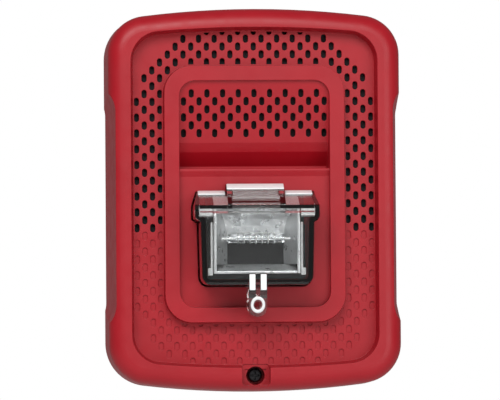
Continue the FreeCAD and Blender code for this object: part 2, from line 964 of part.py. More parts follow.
def reflector():
    rear, front = D.reflector_rear, D.reflector_front
    body = new_body("reflector_body")
    outline = new_sketch(body, "reflector_outline", plane="YZ_Plane")
    polygon(
        outline,
        [
            (-rear, D.reflector_top + 3.8),
            (-front, D.reflector_top),
            (-front, D.reflector_bottom),
            (-rear, D.reflector_bottom),
        ],
    )
    pad(body, "reflector_block", outline, D.reflector_half_width * 2, midplane=True)
    mouth = new_sketch(body, "reflector_mouth", offset=front)
    rounded_outline(
        mouth,
        D.reflector_half_width - 0.9,
        D.reflector_top - 0.8,
        D.reflector_bottom + 3,
        0.8,
    )
    bowl = pocket(body, "reflector_bowl", mouth, front - rear - 1, taper=-30)
    window = slab("reflector_window", (-10.2, 10.2), (rear - 1, front + 1), (-23.8, -15.7))
    half = D.reflector_half_width + 1
    ports = rod("reflector_ports", 0.9, (-half, half), D.tube_depth, D.tube_height)
    return cut("reflector", body, window, ports)


def flash_tube():
    half, at = D.tube_half_length, (D.tube_depth, D.tube_height)
    glass = rod("tube_glass", D.tube_radius, (-half, half), *at)
    bore = rod("tube_bore", D.tube_radius - 0.5, (-half + 0.8, half - 0.8), *at)
    seal = rod("tube_seal_bore", 0.55, (-half - 1, half + 1), *at)
    return cut("flash_tube", glass, bore, seal)


def tube_electrodes():
    half, at = D.tube_half_length, (D.tube_depth, D.tube_height)
    pins = []
    for side, sign in (("left", -1), ("right", 1)):
        ends = (half - 3, half + 5.4) if sign > 0 else (-half - 5.4, -half + 3)
        pins.append(rod(f"electrode_{side}", 0.5, ends, *at))
    return group("tube_electrodes", *pins)


def trigger_wire():
    at = (D.tube_depth, D.tube_height)
    inner, outer = D.tube_radius + 0.03, D.tube_radius + 0.4
    turns = []
    for i in range(-3, 4):
        x = 2.2 * i
        ring = rod(f"wire_turn_{i + 3}_disc", outer, (x - 0.2, x + 0.2), *at)
        hole = rod(f"wire_turn_{i + 3}_hole", inner, (x - 1, x + 1), *at)
        turns.append(cut(f"wire_turn_{i + 3}", ring, hole))
    spine = rod("wire_spine", 0.2, (-7.4, 7.4), D.tube_depth, D.tube_height + outer)
    return join("trigger_wire", spine, *turns)


def light_block():
    """The black block that carries the reflector from the circuit board."""
    board_front = D.board_rear + D.board_thickness
    half, rear, low = D.reflector_half_width + 2.1, D.reflector_rear, -29.0
    outer = slab("block_outer", (-half, half), (board_front, rear), (low, 0.2))
    inner = slab(
        "block_inner", (-half + 1.6, half - 1.6), (board_front - 1, rear - 2), (-28.3, -1.4)
    )
    edge, under = D.reflector_half_width + 0.1, D.reflector_bottom - 0.1
    surround = [
        slab("surround_low", (-half, half), (rear, rear + 7), (low, under)),
        slab("surround_left", (-half, -edge), (rear, rear + 7), (low, -9.5)),
        slab("surround_right", (edge, half), (rear, rear + 7), (low, -9.5)),
    ]
    feet = [
        slab(f"block_foot_{side}", ends, (board_front, board_front + 1.6), (-20, -9))
        for side, ends in (("left", (-22.5, -half)), ("right", (half, 22.5)))
    ]
    return cut("light_block", join("block_with_feet", outer, *surround, *feet), inner)


def lens_retainer():
    """The red frame that holds the lens's flange against the platform, on four posts from the board."""
    rear, front = D.lens_rear_depth - 1.6, D.lens_rear_depth
    half, top, bottom = 23.4, D.lens_crown_top + 1.2, D.lens_bottom - 1.5
    frame = cushion("retainer_frame", half, top, bottom, 1.5, (rear, front))
    inner = D.reflector_half_width + 2.3
    opening = slab("retainer_opening", (-inner, inner), (rear - 1, front + 1), (-29.2, 0.4))
    board_front = D.board_rear + D.board_thickness
    posts = []
    for side, sign in (("left", -1), ("right", 1)):
        ends = (20.6, 23.0) if sign > 0 else (-23.0, -20.6)
        for level, z in (("top", -3.0), ("low", -32.5)):
            depth = (board_front, rear + 0.5)
            posts.append(slab(f"retainer_post_{side}_{level}", ends, depth, (z, z + 2.4)))
    return join("lens_retainer", cut("retainer_ring", frame, opening), *posts)


# ---------------------------------------------------------------- rear housing and electronics


def pin_places():
    for i, step in enumerate((-1.5, -0.5, 0.5, 1.5)):
        yield i, D.terminal_pitch * step


def rear_housing():
    rear, floor = D.housing_rear, D.housing_floor
    half, top, bottom, wall = D.housing_half_width, D.housing_top, D.housing_bottom, D.housing_wall
    tray = cushion("housing_outer", half, top, bottom, 8, (rear, D.housing_rim_front))
    inside = cushion(
        "housing_inner",
        half - wall,
        top - wall,
        bottom + wall,
        6.4,
        (rear + floor, D.housing_rim_front + 1),
    )
    posts = [
        washer(f"housing_post_{name}", 2.6, 1.4, (rear + floor, D.board_rear - 0.8), x, z)
        for name, x, z in boss_places()
    ]
    rests = [
        peg(f"board_rest_{i}", 2.0, (rear + floor - 0.5, D.board_rear), x, z)
        for i, (x, z) in enumerate(((-30, 55), (30, 55), (-30, -40), (30, -40)))
    ]
    holes = [peg(f"housing_hole_{n}", 1.4, (rear - 1, 13), x, z) for n, x, z in boss_places()]
    holes += [
        peg(f"pin_hole_{i}", D.pin_radius + 0.3, (rear - 1, 13), x, D.pin_z)
        for i, x in pin_places()
    ]
    vents = [
        slab(f"housing_vent_{i}", (-12, 12), (rear - 1, 13), (z, z + 1.6))
        for i, z in enumerate((48.5, 52, 55.5))
    ]
    vents.append(peg("housing_sound_port", 6, (rear - 1, 13), 0, D.piezo_height))
    hollow = cut("housing_tray", tray, inside)
    return cut("rear_housing", join("housing_solid", hollow, *posts, *rests), *holes, *vents)


def circuit_board():
    rear = D.board_rear
    depth = (rear, rear + D.board_thickness)
    through = (rear - 1, rear + D.board_thickness + 1)
    half = D.housing_half_width - D.housing_wall - 0.5
    sheet = cushion("board_sheet", half, 59.3, -56.4, 5.5, depth)
    cuts = [
        peg("board_horn_hole", D.piezo_seat_radius + 0.6, through, 0, D.piezo_height),
        slab("board_capacitor_notch", (-17.6, 17.6), through, (-60, -44)),
    ]
    cuts += [
        peg(f"board_boss_hole_{n}", D.boss_radius + 0.4, through, x, z)
        for n, x, z in boss_places()
    ]
    cuts += [
        peg(f"board_pin_hole_{i}", D.pin_radius, through, x, D.pin_z) for i, x in pin_places()
    ]
    return cut("circuit_board", sheet, *cuts)


def flash_capacitor():
    half, at = D.capacitor_half_length, (D.capacitor_depth, D.capacitor_height)
    can = rod("capacitor_can", D.capacitor_radius, (-half, half - 2), *at)
    groove = cut(
        "capacitor_groove",
        rod("groove_outer", D.capacitor_radius + 1, (half - 4.5, half - 3.7), *at),
        rod("groove_inner", D.capacitor_radius - 0.5, (half - 5, half - 3), *at),
    )
    return cut("flash_capacitor", can, groove)


def capacitor_bung():
    half, at = D.capacitor_half_length, (D.capacitor_depth, D.capacitor_height)
    return rod("capacitor_bung", D.capacitor_radius - 0.6, (half - 2, half), *at)


def capacitor_legs():
    """Two wires that leave the bung and run up to the board."""
    half, legs = D.capacitor_half_length, []
    for i, shift in enumerate((-2.0, 2.0)):
        depth = D.capacitor_depth + shift
        legs.append(rod(f"leg_{i}_out", 0.35, (half, half + 3.2), depth, D.capacitor_height))
        legs.append(
            slab(
                f"leg_{i}_down",
                (half + 2.9, half + 3.5),
                (15.0, depth + 0.3),
                (D.capacitor_height - 0.3, D.capacitor_height + 0.3),
            )
        )
    pad_strip = slab("leg_pads", (18.2, 20.2), (15.0, 15.15), (-51.5, -48.5))
    return join("capacitor_legs", pad_strip, *legs)


def trigger_transformer():
    body = slab("transformer_body", (-35, -25), (15.0, 21.2), (-37, -27))
    cap = slab("transformer_cap", (-34, -26), (21.2, 21.9), (-36, -28))
    return join("trigger_transformer", body, cap)


def boost_inductor():
    x, z = 29.5, -31.0
    base = peg("inductor_base", 5.6, (15.0, 16.4), x, z)
    core = peg("inductor_core", 2.6, (16.4, 20.6), x, z)
    top = peg("inductor_top", 5.6, (20.6, 22.0), x, z)
    return join("boost_inductor", base, core, top)


def inductor_winding():
    return washer("inductor_winding", 5.0, 2.65, (16.45, 20.55), 29.5, -31.0)


def power_transistor():
    body = slab("transistor_body", (27, 37), (16.2, 20.4), (-17, -8))
    tab = slab("transistor_tab", (27, 37), (16.2, 17.6), (-8, -2))
    hole = peg("transistor_tab_hole", 1.7, (15, 18), 32, -4.6)
    legs = []
    for i, x in enumerate((29.5, 32.0, 34.5)):
        legs.append(slab(f"transistor_leg_{i}", (x - 0.4, x + 0.4), (17.6, 18.3), (-20, -17)))
        legs.append(slab(f"transistor_foot_{i}", (x - 0.4, x + 0.4), (15.0, 18.3), (-20.7, -20)))
    return cut("power_transistor", join("transistor_solid", body, tab, *legs), hole)


def film_capacitor():
    return slab("film_capacitor", (-37, -25), (15.0, 21.0), (-14, -8))


def control_chips():
    chips = []
    for i, (x, z, half_x, half_z) in enumerate(
        ((-35.5, 8, 3.9, 5.0), (35.5, 12, 3.9, 5.0), (-34, -23, 3.0, 2.0), (0, 54, 5.0, 3.9))
    ):
        across, up = (x - half_x, x + half_x), (z - half_z, z + half_z)
        chips.append(slab(f"chip_{i}", across, (15.1, 16.4), up))
        for k in range(6):
            at = z - half_z + (k + 0.5) * half_z / 3
            for side, sign in (("a", -1), ("b", 1)):
                ends = sorted((x + sign * half_x, x + sign * (half_x + 0.9)))
                chips.append(
                    slab(f"chip_{i}_leg_{k}{side}", ends, (15.0, 15.5), (at - 0.2, at + 0.2))
                )
    return group("control_chips", *chips)


def chip_parts():
    places = [(-42, z) for z in (-30, -22, -14, -4, 16, 24, 32)]
    places += [(42, z) for z in (-30, -22, 2, 22, 30, 38)]
    places += [(x, 50) for x in (-24, -18, -12, 12, 18, 24)]
    places += [(x, -40) for x in (-12, -6, 0, 6, 12)]
    return group(
        "chip_parts",
        *[
            slab(f"chip_part_{i}", (x - 0.65, x + 0.65), (15.0, 15.8), (z - 1.2, z + 1.2))
            for i, (x, z) in enumerate(places)
        ],
    )


def piezo_seat():
    z, outer = D.piezo_height, D.piezo_seat_radius
    floor = D.housing_rear + D.housing_floor
    ledge = washer("seat_ledge", outer, D.piezo_radius - 1.5, (floor, 14.2), 0, z)
    rim = washer("seat_rim", outer, D.piezo_radius + 0.1, (14.2, 15.8), 0, z)
    return join("piezo_seat", ledge, rim)


def piezo_leads():
    wires = []
    for i, (inner, shift, low) in enumerate(((9.0, -1.6, 14.93), (15.0, 1.6, 14.58))):
        z = D.piezo_height + shift
        wires.append(rod(f"lead_{i}", 0.3, (inner, 23.0), 16.2, z))
        for end, x, start in (("inner", inner, low), ("outer", 23.0, 15.0)):
            wires.append(
                slab(f"lead_{i}_{end}", (x - 0.25, x + 0.25), (start, 16.4), (z - 0.25, z + 0.25))
            )
    return group("piezo_leads", join("lead_a", *wires[:3]), join("lead_b", *wires[3:]))


def contact_pins():
    pins = []
    for i, x in pin_places():
        shank = peg(
            f"pin_{i}_shank",
            D.pin_radius,
            (D.pin_tip + 0.8, D.board_rear + D.board_thickness + 0.8),
            x,
            D.pin_z,
        )
        tip = bind(
            DOC.addObject("Part::Sphere", f"pin_{i}_tip"), Radius=D.pin_radius
        )
        place(tip, x, D.pin_tip + 0.8, D.pin_z)
        collar = washer(f"pin_{i}_collar", 1.3, D.pin_radius - 0.1, (12.55, 13.3), x, D.pin_z)
        pins.append(join(f"pin_{i}", shank, tip, collar))
    return group("contact_pins", *pins)


def housing_screws():
    screws = []
    for name, x, z in boss_places():
        head = peg(f"housing_screw_{name}_head", 2.6, (D.housing_rear - 1.4, D.housing_rear), x, z)
        shank = peg(f"housing_screw_{name}_shank", 1.15, (D.housing_rear, 19), x, z)
        across = slab(
            f"housing_screw_{name}_slot_a", (x - 1.6, x + 1.6), (9, 10.4), (z - 0.3, z + 0.3)
        )
        upright = slab(
            f"housing_screw_{name}_slot_b", (x - 0.3, x + 0.3), (9, 10.4), (z - 1.6, z + 1.6)
        )
        solid = join(f"housing_screw_{name}_solid", head, shank)
        screws.append(cut(f"housing_screw_{name}", solid, across, upright))
    return group("housing_screws", *screws)


def acoustic_screen():
    """Thin black mesh sheets behind the slots of the tray and of the scoop floor."""
    floor = D.body_depth - D.tray_depth - D.wall
    depth = (floor - 0.4, floor)
    sheet = cushion("screen_sheet", 44.6, 61.6, -24, 9, depth)
    inner = D.ring_half_width - 2
    opening = slab("screen_opening", (-inner, inner), (20, 25), (-30, D.ring_top - 2))
    holes = [
        peg(f"screen_hole_{n}", D.boss_radius + 0.2, (20, 25), x, z)
        for n, x, z in boss_places()
    ]
    tray_sheet = cut("tray_screen", sheet, opening, *holes)
    rear, thickness = D.scoop_wall * 1.05, 0.4
    top = D.ring_top - D.ring_width - 0.2
    scoop_sheet = prism(
        "scoop_screen",
        [
            (D.scoop_lip_depth - rear - 0.1, top),
            (D.scoop_foot_depth - rear - 0.05, D.scoop_foot_height + 0.6),
            (D.scoop_foot_depth - rear - 0.05 - thickness, D.scoop_foot_height + 0.6),
            (D.scoop_lip_depth - rear - 0.1 - thickness, top),
        ],
        inner - D.ring_width + 1.8,
    )
    return group("acoustic_screen", tray_sheet, scoop_sheet)


# ---------------------------------------------------------------- selectors


def tone_switch_body():
    rear, half = D.housing_rear, 5.5
    case = slab(
        "switch_case",
        (D.dial_x - half, D.dial_x + half),
        (rear - 2.4, rear),
        (D.dial_z - half, D.dial_z + half),
    )
    bowl = peg("switch_bowl", D.dial_radius + 0.06, (rear - 3, rear - 0.8), D.dial_x, D.dial_z)
    return cut("tone_switch_body", case, bowl)


def tone_dial():
    rear = D.housing_rear
    disc = peg("dial_disc", D.dial_radius, (rear - 2.9, rear - 0.85), D.dial_x, D.dial_z)
    bar = slab(
        "dial_bar",
        (D.dial_x - 0.7, D.dial_x + 0.7),
        (rear - 4.2, rear - 2.5),
        (D.dial_z - 3.0, D.dial_z + 3.6),
    )
    notch = slab(
        "dial_notch",
        (D.dial_x - 0.25, D.dial_x + 0.25),
        (rear - 5, rear - 3.9),
        (D.dial_z - 4, D.dial_z + 5),
    )
    return cut("tone_dial", join("dial_solid", disc, bar), notch)


def candela_switch_body():
    rear, travel = D.housing_rear, D.slider_travel
    low, high = D.slider_start_z - 4, D.slider_start_z + travel + 4
    case = slab("candela_case", (D.slider_x - 4, D.slider_x + 4), (rear - 3, rear), (low, high))
    track = slab(
        "candela_track",
        (D.slider_x - 1.6, D.slider_x + 1.6),
        (rear - 4, rear - 0.8),
        (D.slider_start_z - 2.2, D.slider_start_z + travel + 2.2),
    )
    groove = slab(
        "candela_groove",
        (D.slider_x - 2.4, D.slider_x + 2.4),
        (rear - 2.0, rear - 0.8),
        (D.slider_start_z - 2.2, D.slider_start_z + travel + 2.2),
    )
    return cut("candela_switch_body", case, track, groove)


def candela_slider():
    rear, x, z = D.housing_rear, D.slider_x, D.slider_start_z
    foot = slab("slider_foot", (x - 2.3, x + 2.3), (rear - 1.9, rear - 0.9), (z - 2, z + 2))
    neck = slab("slider_neck", (x - 1.5, x + 1.5), (rear - 4.6, rear - 1.5), (z - 1.2, z + 1.2))
    grip = slab("slider_grip", (x - 0.9, x + 0.9), (rear - 5, rear - 4.2), (z - 0.25, z + 0.25))
    return cut("candela_slider", join("slider_solid", foot, neck), grip)


# ---------------------------------------------------------------- captive screw


def captive_screw():
    z, radius = D.screw_height, D.screw_radius
    head = peg("screw_head", D.screw_head_radius, (D.screw_head_rear, D.screw_head_front), 0, z)
    shank = peg("screw_shank", radius, (D.screw_tip, D.screw_head_rear), 0, z)
    neck = cut(
        "screw_neck",
        peg("screw_neck_outer", radius + 1, (D.clip_rear - 0.02, D.clip_rear + 0.82), 0, z),
        peg("screw_neck_inner", radius - 0.4, (D.clip_rear - 1, D.clip_rear + 2), 0, z),
    )
    arm = D.screw_slot_half
    blade = (D.screw_head_front - 1.3, D.screw_head_front + 1)
    across = slab("screw_slot_across", (-arm, arm), blade, (z - 0.45, z + 0.45))
    upright = slab("screw_slot_upright", (-0.45, 0.45), blade, (z - arm, z + arm))
    return cut("captive_screw", join("screw_solid", head, shank), neck, across, upright)


def screw_retainer():
    """The open clip that rides in the screw's neck and keeps the screw in the cover."""
    z = D.screw_height
    ring = washer(
        "clip_ring", 2.6, D.screw_radius - 0.34, (D.clip_rear, D.clip_rear + 0.8), 0, z
    )
    mouth = slab("clip_mouth", (-0.9, 0.9), (D.clip_rear - 1, D.clip_rear + 2), (z, z + 4))
    return cut("screw_retainer", ring, mouth)


# ---------------------------------------------------------------- mounting plate and terminals


def mounting_plate():
    thickness = D.plate_thickness
    base = cushion(
        "plate_base",
        D.plate_half_width,
        D.plate_top,
        D.plate_bottom,
        D.plate_corner,
        (0, thickness),
        bow=D.body_bow_radius,
    )
    lip = cut(
        "plate_lip",
        cushion("lip_outer", 49.6, 61.8, -60.2, 10, (thickness - 0.5, thickness + 2)),
        cushion("lip_inner", 48.0, 60.2, -58.6, 8.4, (thickness - 1, thickness + 3)),
    )
    raised = [lip]
    for side, sign in (("left", -1), ("right", 1)):
        middle = D.bead_spacing * (sign * 0.5)
        ends = (middle - 4.6, middle + 4.6)
        seat = D.pivot_height - D.bead_radius - 0.1
        arm = slab(f"hook_arm_{side}", ends, (thickness - 0.5, 7.2), (seat - 2.2, seat))
        lip_rear = D.pivot_depth + D.bead_radius + 0.15
        finger = slab(f"hook_lip_{side}", ends, (lip_rear, 7.2), (seat - 0.5, D.pivot_height))
        raised += [arm, finger]
    raised.append(peg("insert_boss", 3.3, (thickness - 0.5, 8), 0, D.screw_height))
    for i, z in enumerate((36.0, -39.0)):
        raised.append(slab(f"plate_rib_{i}", (-48, -27), (2, 3.8), (z, z + 1.4)))
        raised.append(slab(f"plate_rib_{i + 2}", (27, 48), (2, 3.8), (z, z + 1.4)))
    through = (-1, thickness + 1)
    holes = [
        slab(
            "wire_window",
            (-D.window_half_width, D.window_half_width),
            through,
            (D.window_bottom, D.window_top),
        ),
        peg("insert_seat", 2.6, (3.6, 9), 0, D.screw_height),
        peg("insert_clear", 2.1, (-1, 9), 0, D.screw_height),
    ]
    for i, x in enumerate((0, -1, 1)):
        for k, z in enumerate((1, -1)):
            at = (D.gang_half_width * x, D.gang_half_height * z)
            holes.append(slotted(f"gang_slot_{i}{k}", *at, 2.0, 2.0, through, upright=x == 0))
    return cut("mounting_plate", join("plate_solid", base, *raised), *holes)


def lock_insert():
    return washer("lock_insert", 2.6, D.screw_radius + 0.35, (3.6, 8.2), 0, D.screw_height)


def terminal_housing():
    front = D.terminal_front
    block = slab("terminal_block", (-21, 21), (D.plate_thickness, front), (-35, -14.5))
    cuts = []
    for i, x in pin_places():
        cuts.append(slab(f"terminal_bay_{i}", (x - 4.1, x + 4.1), (5.0, front + 1), (-36, -23.5)))
        cuts.append(slab(f"terminal_seat_{i}", (x - 3.7, x + 3.7), (4.2, 5.0), (-34.2, -16.4)))
        cuts.append(peg(f"terminal_bore_{i}", 1.6, (2.9, 6), x, D.terminal_screw_z))
        cuts.append(
            slab(f"pin_socket_{i}", (x - 1.5, x + 1.5), (4.9, front + 1), (-20.2, -16.4))
        )
    return cut("terminal_housing", block, *cuts)


def terminal_contacts():
    strips = []
    for i, x in pin_places():
        strip = slab(f"contact_strip_{i}", (x - 3.6, x + 3.6), (4.2, 5.0), (-34, -16.5))
        hole = peg(f"contact_hole_{i}", 1.7, (3, 6), x, D.terminal_screw_z)
        strips.append(cut(f"contact_{i}", strip, hole))
    return group("terminal_contacts", *strips)


def terminal_screws():
    screws = []
    for i, x in pin_places():
        z = D.terminal_screw_z
        solid = join(
            f"terminal_screw_{i}_solid",
            peg(f"terminal_screw_{i}_head", 2.9, (5.9, 8.2), x, z),
            peg(f"terminal_screw_{i}_shank", 1.5, (3.0, 5.9), x, z),
        )
        across = slab(f"terminal_screw_{i}_slot", (x - 3, x + 3), (7.2, 9), (z - 0.4, z + 0.4))
        screws.append(cut(f"terminal_screw_{i}", solid, across))
    return group("terminal_screws", *screws)


def terminal_washers():
    plates = []
    for i, x in pin_places():
        z = D.terminal_screw_z
        plate = slab(f"clamp_{i}", (x - 3.5, x + 3.5), (5.05, 5.85), (z - 3.5, z + 3.5))
        hole = peg(f"clamp_hole_{i}", 1.7, (3, 7), x, z)
        plates.append(cut(f"terminal_washer_{i}", plate, hole))
    return group("terminal_washers", *plates)


# ---------------------------------------------------------------- nodes


def piezo_plate():
    return peg("piezo_plate", D.piezo_radius, (14.22, 14.52), 0, D.piezo_height)


def piezo_ceramic():
    return peg("piezo_ceramic", D.ceramic_radius, (14.52, 14.9), 0, D.piezo_height)


NODES = (
    mounting_plate,
    lock_insert,
    terminal_housing,
    terminal_contacts,
    terminal_screws,
    terminal_washers,
    front_cover,
    strobe_lens,
    reflector,
    flash_tube,
    tube_electrodes,
    trigger_wire,
    light_block,
    lens_retainer,
    rear_housing,
    circuit_board,
    flash_capacitor,
    capacitor_bung,
    capacitor_legs,
    trigger_transformer,
    boost_inductor,
    inductor_winding,
    power_transistor,
    film_capacitor,
    control_chips,
    chip_parts,
    piezo_seat,
    piezo_plate,
    piezo_ceramic,
    piezo_leads,
    contact_pins,
    housing_screws,
    acoustic_screen,
    tone_switch_body,
    tone_dial,
    candela_switch_body,
    candela_slider,
    captive_screw,
    screw_retainer,
)


def main():
    made = {build.__name__: build() for build in NODES}
    DOC.recompute()
    for name, obj in made.items():
        obj.Label = name
    for obj in DOC.Objects:
        wrong = {"Invalid", "Error"} & set(obj.State)
        if wrong:
            raise RuntimeError(f"{obj.Name} is {wrong}")
    os.makedirs("parts", exist_ok=True)
    for name, obj in made.items():
        if obj.Shape.isNull() or not obj.Shape.isValid():
            raise RuntimeError(f"{name} has no valid shape")
        obj.Shape.exportStep(f"parts/{name}.step")


if __name__ == "__main__":
    main()
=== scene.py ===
"""The looks of the wall horn strobe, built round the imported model. Lengths are in metres."""

import json
import math

import bmesh
import bpy
from mathutils import Matrix, Vector


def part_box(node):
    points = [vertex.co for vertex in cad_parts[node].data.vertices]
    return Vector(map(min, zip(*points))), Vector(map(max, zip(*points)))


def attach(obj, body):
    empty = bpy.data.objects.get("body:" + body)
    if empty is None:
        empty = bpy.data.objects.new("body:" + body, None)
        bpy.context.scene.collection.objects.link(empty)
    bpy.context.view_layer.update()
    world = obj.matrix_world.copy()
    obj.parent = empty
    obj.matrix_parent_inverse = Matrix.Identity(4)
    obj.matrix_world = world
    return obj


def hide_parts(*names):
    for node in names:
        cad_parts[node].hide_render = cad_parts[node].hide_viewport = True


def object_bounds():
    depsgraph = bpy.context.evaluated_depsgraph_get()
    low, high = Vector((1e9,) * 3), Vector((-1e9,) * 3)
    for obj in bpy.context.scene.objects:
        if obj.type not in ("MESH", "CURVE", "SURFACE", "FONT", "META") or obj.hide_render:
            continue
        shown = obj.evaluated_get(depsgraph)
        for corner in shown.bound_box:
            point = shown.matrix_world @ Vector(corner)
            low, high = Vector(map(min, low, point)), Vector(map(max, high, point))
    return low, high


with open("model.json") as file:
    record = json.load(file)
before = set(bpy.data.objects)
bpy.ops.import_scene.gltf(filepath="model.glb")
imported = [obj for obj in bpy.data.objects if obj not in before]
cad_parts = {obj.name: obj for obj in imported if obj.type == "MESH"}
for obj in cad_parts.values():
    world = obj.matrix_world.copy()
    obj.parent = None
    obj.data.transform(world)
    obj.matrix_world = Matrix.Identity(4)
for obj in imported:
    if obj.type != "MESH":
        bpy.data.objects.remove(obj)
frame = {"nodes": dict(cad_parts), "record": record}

CAD_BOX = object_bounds()
MM = 0.001
SCENE = bpy.context.scene
NODES = frame["nodes"]


# ---------------------------------------------------------------- camera

CAMERA_DISTANCE = 1.2
CAMERA_AZIMUTH = math.radians(-2.8)
CAMERA_ELEVATION = math.radians(-1.4)
CAMERA_ROLL = math.radians(-0.4)
CAMERA_LENS = 234.0
AIM = Vector((-0.0014, -0.022, -0.0001))


def add_camera():
    data = bpy.data.cameras.new("camera")
    data.sensor_width = 36
    data.lens = CAMERA_LENS
    data.clip_start = 0.01
    camera = bpy.data.objects.new("camera", data)
    SCENE.collection.objects.link(camera)
    level = math.cos(CAMERA_ELEVATION)
    back = Vector(
        (
            math.sin(CAMERA_AZIMUTH) * level,
            -math.cos(CAMERA_AZIMUTH) * level,
            math.sin(CAMERA_ELEVATION),
        )
    )
    turn = (-back).to_track_quat("-Z", "Y").to_matrix().to_4x4()
    camera.matrix_world = (
        Matrix.Translation(AIM + back * CAMERA_DISTANCE)
        @ turn
        @ Matrix.Rotation(CAMERA_ROLL, 4, "Z")
    )
    SCENE.camera = camera


add_camera()


# ---------------------------------------------------------------- materials


class Nodes:
    """A short way to write a node tree."""

    def __init__(self, tree):
        self.tree = tree

    def add(self, kind, inputs=None, **settings):
        node = self.tree.nodes.new(kind)
        for name, value in settings.items():
            setattr(node, name, value)
        for name, value in (inputs or {}).items():
            socket = node.inputs[name]
            if isinstance(value, bpy.types.NodeSocket):
                self.tree.links.new(value, socket)
            else:
                socket.default_value = value
        return node

    def place(self):
        """The point in the row frame, in metres."""
        return self.add("ShaderNodeTexCoord").outputs["Object"]

    def noise(self, scale, detail=2.0, roughness=0.5, vector=None):
        return self.add(
            "ShaderNodeTexNoise",
            {
                "Vector": vector or self.place(),
                "Scale": scale,
                "Detail": detail,
                "Roughness": roughness,
            },
        ).outputs["Fac"]

    def spread(self, value, low, high, from_low=0.3, from_high=0.7):
        """Maps a noise's middle range onto low to high."""
        return self.add(
            "ShaderNodeMapRange",
            {
                "Value": value,
                "From Min": from_low,
                "From Max": from_high,
                "To Min": low,
                "To Max": high,
            },
        ).outputs["Result"]

    def blend(self, factor, one, other):
        mix = self.add("ShaderNodeMix", data_type="RGBA")
        self.tree.links.new(factor, mix.inputs["Factor"])
        for socket, value in ((mix.inputs[6], one), (mix.inputs[7], other)):
            if isinstance(value, bpy.types.NodeSocket):
                self.tree.links.new(value, socket)
            else:
                socket.default_value = (*value, 1.0)
        return mix.outputs[2]

    def soft_edge(self, radius):
        """The normal with every edge rounded by a radius, and how near an edge the point is."""
        bevel = self.add("ShaderNodeBevel", {"Radius": radius}, samples=4).outputs["Normal"]
        true = self.add("ShaderNodeNewGeometry").outputs["True Normal"]
        along = self.add("ShaderNodeVectorMath", {0: bevel, 1: true}, operation="DOT_PRODUCT")
        return bevel, self.spread(along.outputs["Value"], 1.0, 0.0, 0.80, 0.99)

    def bump(self, height, strength, distance, normal=None):
        inputs = {"Height": height, "Strength": strength, "Distance": distance}
        if normal is not None:
            inputs["Normal"] = normal
        return self.add("ShaderNodeBump", inputs).outputs["Normal"]


def surface(name, **values):
    """A material with a Principled shader; the values are its socket values."""
    material = bpy.data.materials.new(name)
    material.use_nodes = True
    tree = material.node_tree
    tree.nodes.clear()
    nodes = Nodes(tree)
    shader = nodes.add("ShaderNodeBsdfPrincipled", values)
    out = nodes.add("ShaderNodeOutputMaterial")
    tree.links.new(shader.outputs["BSDF"], out.inputs["Surface"])
    return material, nodes, shader


def link(nodes, shader, **sockets):
    for name, value in sockets.items():
        nodes.tree.links.new(value, shader.inputs[name.replace("_", " ")])


def moulded(name, colour, rough, grain=2600.0, depth=0.02, mottle=0.1, cloud=60.0, edge=0.12, **values):
    """Moulded plastic: a fine spark-eroded grain, faint clouding, uneven gloss and a painted highlight
    that makes every rounded edge paler.
    """
    material, nodes, shader = surface(name, **values)
    light = tuple(min(1.0, c * (1 + mottle)) for c in colour)
    dark = tuple(c * (1 - mottle) for c in colour)
    # painted highlight: a paler copy of the colour on every rounded edge, standing in for the light the
    # edges catch
    painted_edge_highlight = tuple(min(1.0, c * 1.25 + 0.012) for c in colour)
    clouds = nodes.spread(nodes.noise(cloud, 4.0), 0.0, 1.0)
    soft, near_edge = nodes.soft_edge(edge * MM)
    plain = nodes.blend(clouds, dark, light)
    link(nodes, shader, Base_Color=nodes.blend(near_edge, plain, painted_edge_highlight))
    uneven = nodes.spread(nodes.noise(cloud * 4, 3.0), rough * 0.88, rough * 1.12)
    link(nodes, shader, Roughness=uneven)
    fine = nodes.noise(grain, 3.0, 0.6)
    link(nodes, shader, Normal=nodes.bump(fine, 0.5, depth * MM, soft))
    return material


def metal(name, colour, rough, scratch=900.0, depth=0.004, stretch=(1, 1, 12), **values):
    """Plated or drawn metal with fine marks along one direction."""
    material, nodes, shader = surface(name, **{"Metallic": 1.0, **values})
    stretched = nodes.add(
        "ShaderNodeMapping", {"Vector": nodes.place(), "Scale": [1 / s for s in stretch]}
    ).outputs["Vector"]
    marks = nodes.noise(scratch, 4.0, 0.6, stretched)
    stain = nodes.spread(nodes.noise(180.0, 4.0), 0.0, 1.0)
    dark = tuple(c * 0.8 for c in colour)
    link(nodes, shader, Base_Color=nodes.blend(stain, dark, colour))
    link(nodes, shader, Roughness=nodes.spread(marks, rough * 0.8, rough * 1.25))
    link(nodes, shader, Normal=nodes.bump(marks, 0.4, depth * MM))
    return material


def woven(name, colour, pitch, rough=0.8):
    """A fine mesh: two crossed sets of threads, lighter on their crests as a painted sheen and darker in
    the gaps between them as painted shade.
    """
    material, nodes, shader = surface(name, Roughness=rough)
    tilted = nodes.add(
        "ShaderNodeMapping", {"Vector": nodes.place(), "Rotation": (0, math.radians(45), 0)}
    ).outputs["Vector"]
    parts = nodes.add("ShaderNodeSeparateXYZ", {"Vector": tilted})
    waves = []
    for axis in ("X", "Z"):
        scaled = nodes.add(
            "ShaderNodeMath",
            {0: parts.outputs[axis], 1: math.tau / pitch},
            operation="MULTIPLY",
        ).outputs[0]
        waves.append(nodes.add("ShaderNodeMath", {0: scaled}, operation="SINE").outputs[0])
    height = nodes.add("ShaderNodeMath", {0: waves[0], 1: waves[1]}, operation="MAXIMUM").outputs[0]
    # painted sheen and shade: a lighter copy of the thread colour on the crests, the plain colour in the
    # gaps
    bright = tuple(c * 2.2 + 0.004 for c in colour)
    link(
        nodes,
        shader,
        Base_Color=nodes.blend(nodes.spread(height, 0, 1, -0.2, 1.0), colour, bright),
        Normal=nodes.bump(height, 0.8, pitch * 0.3),
    )
    return material


